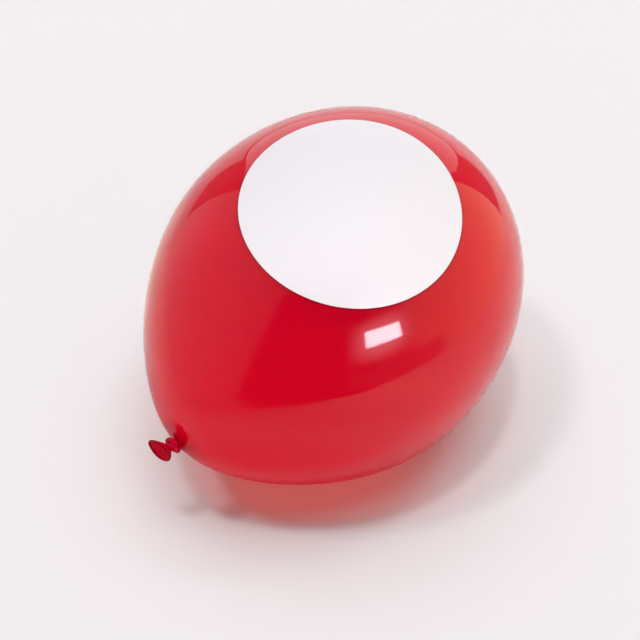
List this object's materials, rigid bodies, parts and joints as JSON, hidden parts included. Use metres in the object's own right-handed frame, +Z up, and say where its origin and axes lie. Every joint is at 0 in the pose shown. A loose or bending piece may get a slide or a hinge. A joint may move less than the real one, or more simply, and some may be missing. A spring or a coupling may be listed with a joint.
{
  "type": "printed latex balloon",
  "caption": "Inflated, tied party balloon of red latex lying on its side, with a round white print field on top, a knotted neck and a flared mouth with a rolled lip.",
  "frame": {"origin": "middle of the small flat patch on which the skin rests on the floor", "axes": "+Z up; the balloon's long axis lies in the XZ plane, the crown towards +X and raised, the tied neck towards -X; the print faces up, rolled a little towards -Y"},
  "size_m": [0.3432, 0.2794, 0.2806],
  "materials": {
    "red_latex": "glossy stretched latex, slightly translucent",
    "red_latex_unstretched": "satin unstretched latex, deeper in colour",
    "white_ink": "opaque screen-printed ink, semi-gloss"
  },
  "bodies": {
    "root": {"envelope": "red_latex", "neck_stem": "red_latex_unstretched", "knot_wrap": "red_latex_unstretched", "tail": "red_latex_unstretched", "mouth_lip": "red_latex_unstretched", "print_disc": "white_ink"}
  },
  "joints": []
}
